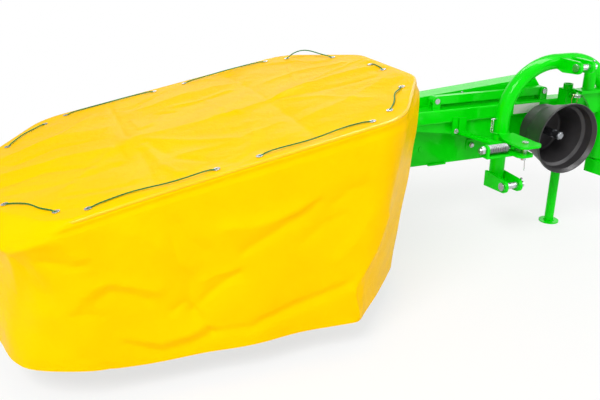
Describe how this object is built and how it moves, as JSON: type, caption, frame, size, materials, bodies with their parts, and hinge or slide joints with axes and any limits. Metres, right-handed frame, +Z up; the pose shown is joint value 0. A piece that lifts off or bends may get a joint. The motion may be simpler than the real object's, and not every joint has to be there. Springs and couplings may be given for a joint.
{
  "type": "rotary drum mower",
  "caption": "Tractor-mounted rotary drum mower with a laced yellow cover over its drums, a belt-drive beam, an arch hitch frame, a guard round the power stub and a parking stand.",
  "frame": {"origin": "on the ground, at the middle of the inner drum's skid", "axes": "+Z up; +X along the machine, from the outer drum to the hitch; -Y towards the tractor, so +Y is the way the swath leaves"},
  "size_m": [2.6905, 1.116, 0.8525],
  "materials": {
    "green_paint": "gloss",
    "yellow_sheet": "satin",
    "zinc": "satin",
    "machined_steel": "satin",
    "cast_steel": "matte",
    "black_plastic": "matte",
    "belt_rubber": "matte",
    "bush_bronze": "satin",
    "cord_green": "matte"
  },
  "bodies": {
    "main_frame": {"main_beam": "green_paint", "beam_web": "green_paint", "pivot_housing": "green_paint", "pivot_bush": "bush_bronze", "belt_housing_front": "green_paint", "belt_housing_back": "green_paint", "v_belts": "belt_rubber", "bearing_housing": "green_paint", "input_bearings": "machined_steel", "guard_cup": "black_plastic", "pivot_sleeve": "green_paint", "transport_stay": "green_paint", "stay_pins": "zinc", "strap_bracket": "green_paint", "release_arm": "green_paint", "stand_sleeve": "green_paint", "stand_lock_screw": "zinc", "idler_arm": "green_paint"},
    "cutting_unit": {"gear_beam": "green_paint", "gear_beam_lid": "green_paint", "drum_bearings": "machined_steel", "cover_hoop": "green_paint", "cover_posts": "green_paint", "cover": "yellow_sheet", "eyelets": "zinc", "lacing_cord": "cord_green"},
    "hitch_frame": {"hitch_arch": "green_paint", "top_link_lugs": "green_paint", "top_link_pin": "zinc", "lower_clevises": "green_paint", "lower_pins": "zinc", "pivot_brace": "green_paint", "pivot_collars": "green_paint", "release_lugs": "green_paint", "release_pin": "zinc", "linchpins": "zinc", "release_spring": "zinc", "keeper_chain": "zinc"},
    "input_shaft_set": {"input_shaft": "zinc", "drive_pulley": "cast_steel"},
    "gearbox_shaft": {"pinion_shaft": "machined_steel", "driven_pulley": "cast_steel"},
    "idler": {"idler_roller": "machined_steel"},
    "cross_shaft_set": {"cross_shaft": "machined_steel"},
    "inner_drum": {"drum_shaft_inner": "machined_steel", "drum_inner": "green_paint", "knife_pins_inner": "zinc"},
    "outer_drum": {"drum_shaft_outer": "machined_steel", "drum_outer": "green_paint", "knife_pins_outer": "zinc"},
    "inner_skid": {"skid_inner": "green_paint"},
    "outer_skid": {"skid_outer": "green_paint"},
    "stand": {"stand_leg": "green_paint"},
    "catch": {"catch_rod": "zinc"},
    "knife_inner_1": {"knife_inner_1": "machined_steel"},
    "knife_inner_2": {"knife_inner_2": "machined_steel"},
    "knife_inner_3": {"knife_inner_3": "machined_steel"},
    "knife_outer_1": {"knife_outer_1": "machined_steel"},
    "knife_outer_2": {"knife_outer_2": "machined_steel"},
    "knife_outer_3": {"knife_outer_3": "machined_steel"}
  },
  "joints": [
    {"name": "float_hinge", "type": "hinge", "parent": "main_frame", "child": "cutting_unit", "pos_m": [0.16, 0.2, 0.483], "axis": [0, 1, 0], "range_deg": [-6, 10]},
    {"name": "breakaway_pivot", "type": "hinge", "parent": "main_frame", "child": "hitch_frame", "pos_m": [1.548, 0.038, 0.45], "axis": [0, 0, 1], "range_deg": [0, 40]},
    {"name": "stand_slide", "type": "slide", "parent": "main_frame", "child": "stand", "axis": [0, 0, 1], "range_m": [0, 0.3]},
    {"name": "input_spin", "type": "hinge", "parent": "main_frame", "child": "input_shaft_set", "pos_m": [1.27, 0.13, 0.483], "axis": [0, 1, 0], "continuous": true},
    {"name": "idler_spin", "type": "hinge", "parent": "main_frame", "child": "idler", "pos_m": [0.72, 0.28, 0.41042], "axis": [0, 1, 0], "continuous": true},
    {"name": "pinion_spin", "type": "hinge", "parent": "cutting_unit", "child": "gearbox_shaft", "pos_m": [0.16, 0.2, 0.483], "axis": [0, 1, 0], "continuous": true},
    {"name": "cross_spin", "type": "hinge", "parent": "cutting_unit", "child": "cross_shaft_set", "pos_m": [0, 0, 0.483], "axis": [1, 0, 0], "continuous": true},
    {"name": "inner_drum_spin", "type": "hinge", "parent": "cutting_unit", "child": "inner_drum", "pos_m": [0, 0, 0.3], "axis": [0, 0, 1], "continuous": true},
    {"name": "outer_drum_spin", "type": "hinge", "parent": "cutting_unit", "child": "outer_drum", "pos_m": [-0.66, 0, 0.3], "axis": [0, 0, 1], "continuous": true},
    {"name": "inner_skid_spin", "type": "hinge", "parent": "inner_drum", "child": "inner_skid", "pos_m": [0, 0, 0.04], "axis": [0, 0, 1], "continuous": true},
    {"name": "outer_skid_spin", "type": "hinge", "parent": "outer_drum", "child": "outer_skid", "pos_m": [-0.66, 0, 0.04], "axis": [0, 0, 1], "continuous": true},
    {"name": "catch_slide", "type": "slide", "parent": "hitch_frame", "child": "catch", "axis": [-1, 0, 0], "range_m": [0, 0.012], "stiffness_N_per_m": 9000, "springref_m": -0.02, "deforming": ["release_spring"]},
    {"name": "knife_inner_1_swing", "type": "hinge", "parent": "inner_drum", "child": "knife_inner_1", "pos_m": [0.1225, 0.21218, 0.066], "axis": [0, 0, 1], "range_deg": [-50, 50]},
    {"name": "knife_inner_2_swing", "type": "hinge", "parent": "inner_drum", "child": "knife_inner_2", "pos_m": [-0.245, 0, 0.066], "axis": [0, 0, 1], "range_deg": [-50, 50]},
    {"name": "knife_inner_3_swing", "type": "hinge", "parent": "inner_drum", "child": "knife_inner_3", "pos_m": [0.1225, -0.21218, 0.066], "axis": [0, 0, 1], "range_deg": [-50, 50]},
    {"name": "knife_outer_1_swing", "type": "hinge", "parent": "outer_drum", "child": "knife_outer_1", "pos_m": [-0.5375, 0.21218, 0.066], "axis": [0, 0, 1], "range_deg": [-50, 50]},
    {"name": "knife_outer_2_swing", "type": "hinge", "parent": "outer_drum", "child": "knife_outer_2", "pos_m": [-0.905, 0, 0.066], "axis": [0, 0, 1], "range_deg": [-50, 50]},
    {"name": "knife_outer_3_swing", "type": "hinge", "parent": "outer_drum", "child": "knife_outer_3", "pos_m": [-0.5375, -0.21218, 0.066], "axis": [0, 0, 1], "range_deg": [-50, 50]}
  ],
  "couplings": [
    {"joint": "pinion_spin", "follows": "input_spin", "ratio": 1.7921},
    {"joint": "cross_spin", "follows": "input_spin", "ratio": 3.5842},
    {"joint": "inner_drum_spin", "follows": "input_spin", "ratio": 3.5842},
    {"joint": "outer_drum_spin", "follows": "input_spin", "ratio": -3.5842},
    {"joint": "idler_spin", "follows": "input_spin", "ratio": 4.4167}
  ]
}
